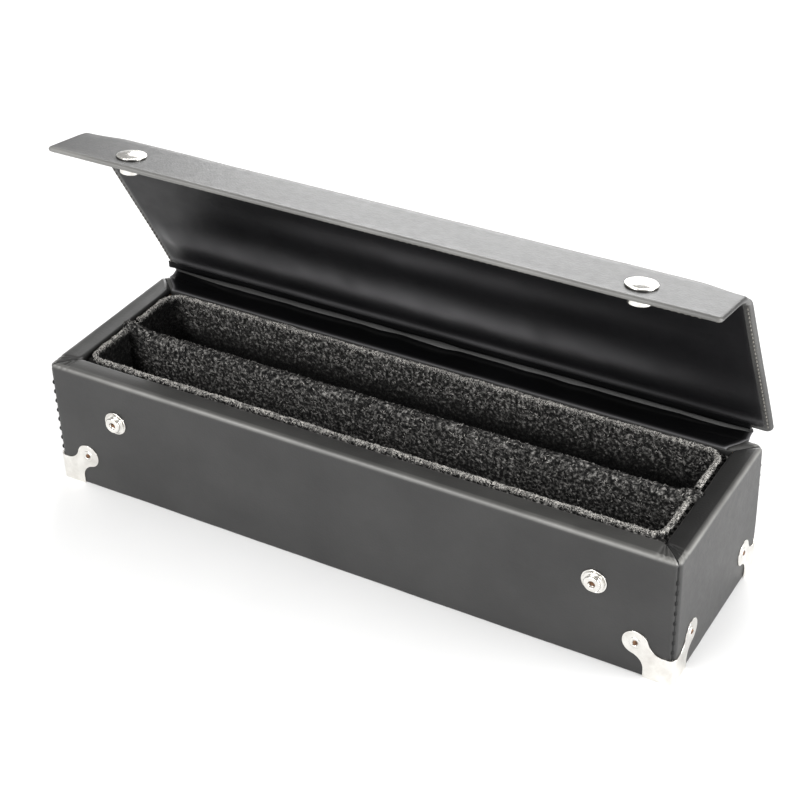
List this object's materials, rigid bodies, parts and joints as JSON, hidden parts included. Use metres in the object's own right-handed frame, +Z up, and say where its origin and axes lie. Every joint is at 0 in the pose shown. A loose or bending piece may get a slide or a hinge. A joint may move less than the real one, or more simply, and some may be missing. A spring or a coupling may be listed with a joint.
{
  "type": "instrument case",
  "caption": "Long leather-covered case with two carpeted lanes, a leather-hinged lid with a folding front flap, press studs and corner plates.",
  "frame": {"origin": "middle of the box's flat bottom", "axes": "+X along the case, -Y towards the front with the press studs, +Z up"},
  "size_m": [0.3526, 0.1107, 0.1842],
  "materials": {
    "leather": "matte, fine grain",
    "lining": "smooth satin",
    "carpet": "needled felt pile, salt and pepper",
    "wood": "raw",
    "card": "raw fibreboard",
    "nickel": "polished nickel plate",
    "bronze": "dull",
    "thread": "matte"
  },
  "bodies": {
    "case": {"front_board": "wood", "back_board": "wood", "left_end_board": "wood", "right_end_board": "wood", "bottom_board": "wood", "front_cover": "leather", "back_cover": "leather", "left_end_cover": "leather", "right_end_cover": "leather", "bottom_cover": "leather", "front_liner": "carpet", "back_liner": "carpet", "left_end_liner": "carpet", "right_end_liner": "carpet", "front_floor_liner": "carpet", "back_floor_liner": "carpet", "divider_board": "wood", "divider_liner": "carpet", "stud_left": "nickel", "stud_right": "nickel", "stud_rivet_left": "bronze", "stud_rivet_right": "bronze", "corner_plate_front_left": "nickel", "corner_plate_front_right": "nickel", "corner_plate_back_left": "nickel", "corner_plate_back_right": "nickel", "corner_nails": "bronze", "corner_seam_thread": "thread", "hinge_strip": "leather", "hinge_gusset": "lining"},
    "lid": {"lid_board": "card", "lid_cover": "leather", "lid_lining": "lining", "lid_thread": "thread", "fold_cover": "leather", "fold_lining": "lining"},
    "flap": {"flap_board": "card", "flap_cover": "leather", "flap_lining": "lining", "flap_thread": "thread", "cap_left": "nickel", "cap_right": "nickel", "socket_left": "nickel", "socket_right": "nickel"}
  },
  "joints": [
    {"name": "lid_hinge", "type": "hinge", "parent": "case", "child": "lid", "pos_m": [0, 0.05835, 0.0765], "axis": [-1, 0, 0], "range_deg": [-64.5, 150.5], "deforming": ["hinge_strip", "hinge_gusset"]},
    {"name": "flap_fold", "type": "hinge", "parent": "lid", "child": "flap", "pos_m": [0, 0.00037, 0.16717], "axis": [-1, 0, 0], "range_deg": [-34.5, 20], "stiffness_Nm_per_rad": 0.15, "deforming": ["fold_cover", "fold_lining"]}
  ]
}
